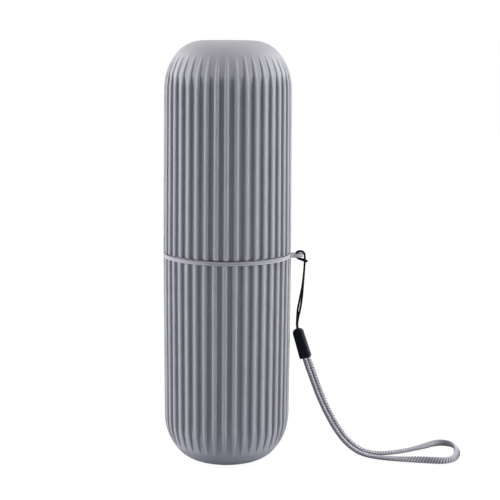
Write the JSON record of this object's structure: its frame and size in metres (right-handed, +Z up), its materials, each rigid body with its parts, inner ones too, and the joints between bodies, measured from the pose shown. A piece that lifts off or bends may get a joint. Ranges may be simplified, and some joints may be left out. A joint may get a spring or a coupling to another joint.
{
  "type": "toothbrush travel case",
  "caption": "Upright capsule case of two ribbed plastic cups that slide together over a neck, with a braided wrist lanyard on a lug at the seam.",
  "frame": {"origin": "centre of the flat base of the lower cup, on the axis of the case", "axes": "+Z up along the axis of the case, +X through the lug, so the lanyard hangs on the +X side"},
  "size_m": [0.1528, 0.0642, 0.2115],
  "materials": {
    "grey_shell": "satin",
    "black_cord": "matte",
    "black_sleeve": "satin",
    "crimp_metal": "satin",
    "grey_braid": "matte"
  },
  "bodies": {
    "case_bottom": {"lower_cup": "grey_shell"},
    "case_top": {"upper_cup": "grey_shell"},
    "lanyard": {"cord_loop": "black_cord", "cord_clamp": "black_sleeve", "clamp_crimp": "crimp_metal", "wrist_strap": "grey_braid"}
  },
  "joints": [
    {"name": "cup_lift", "type": "slide", "parent": "case_bottom", "child": "case_top", "axis": [0, 0, 1], "range_m": [0, 0.12]},
    {"name": "lanyard_swing", "type": "hinge", "parent": "case_bottom", "child": "lanyard", "pos_m": [0.0369, 0, 0.10505], "axis": [0, -1, 0], "range_deg": [0, 90]}
  ]
}
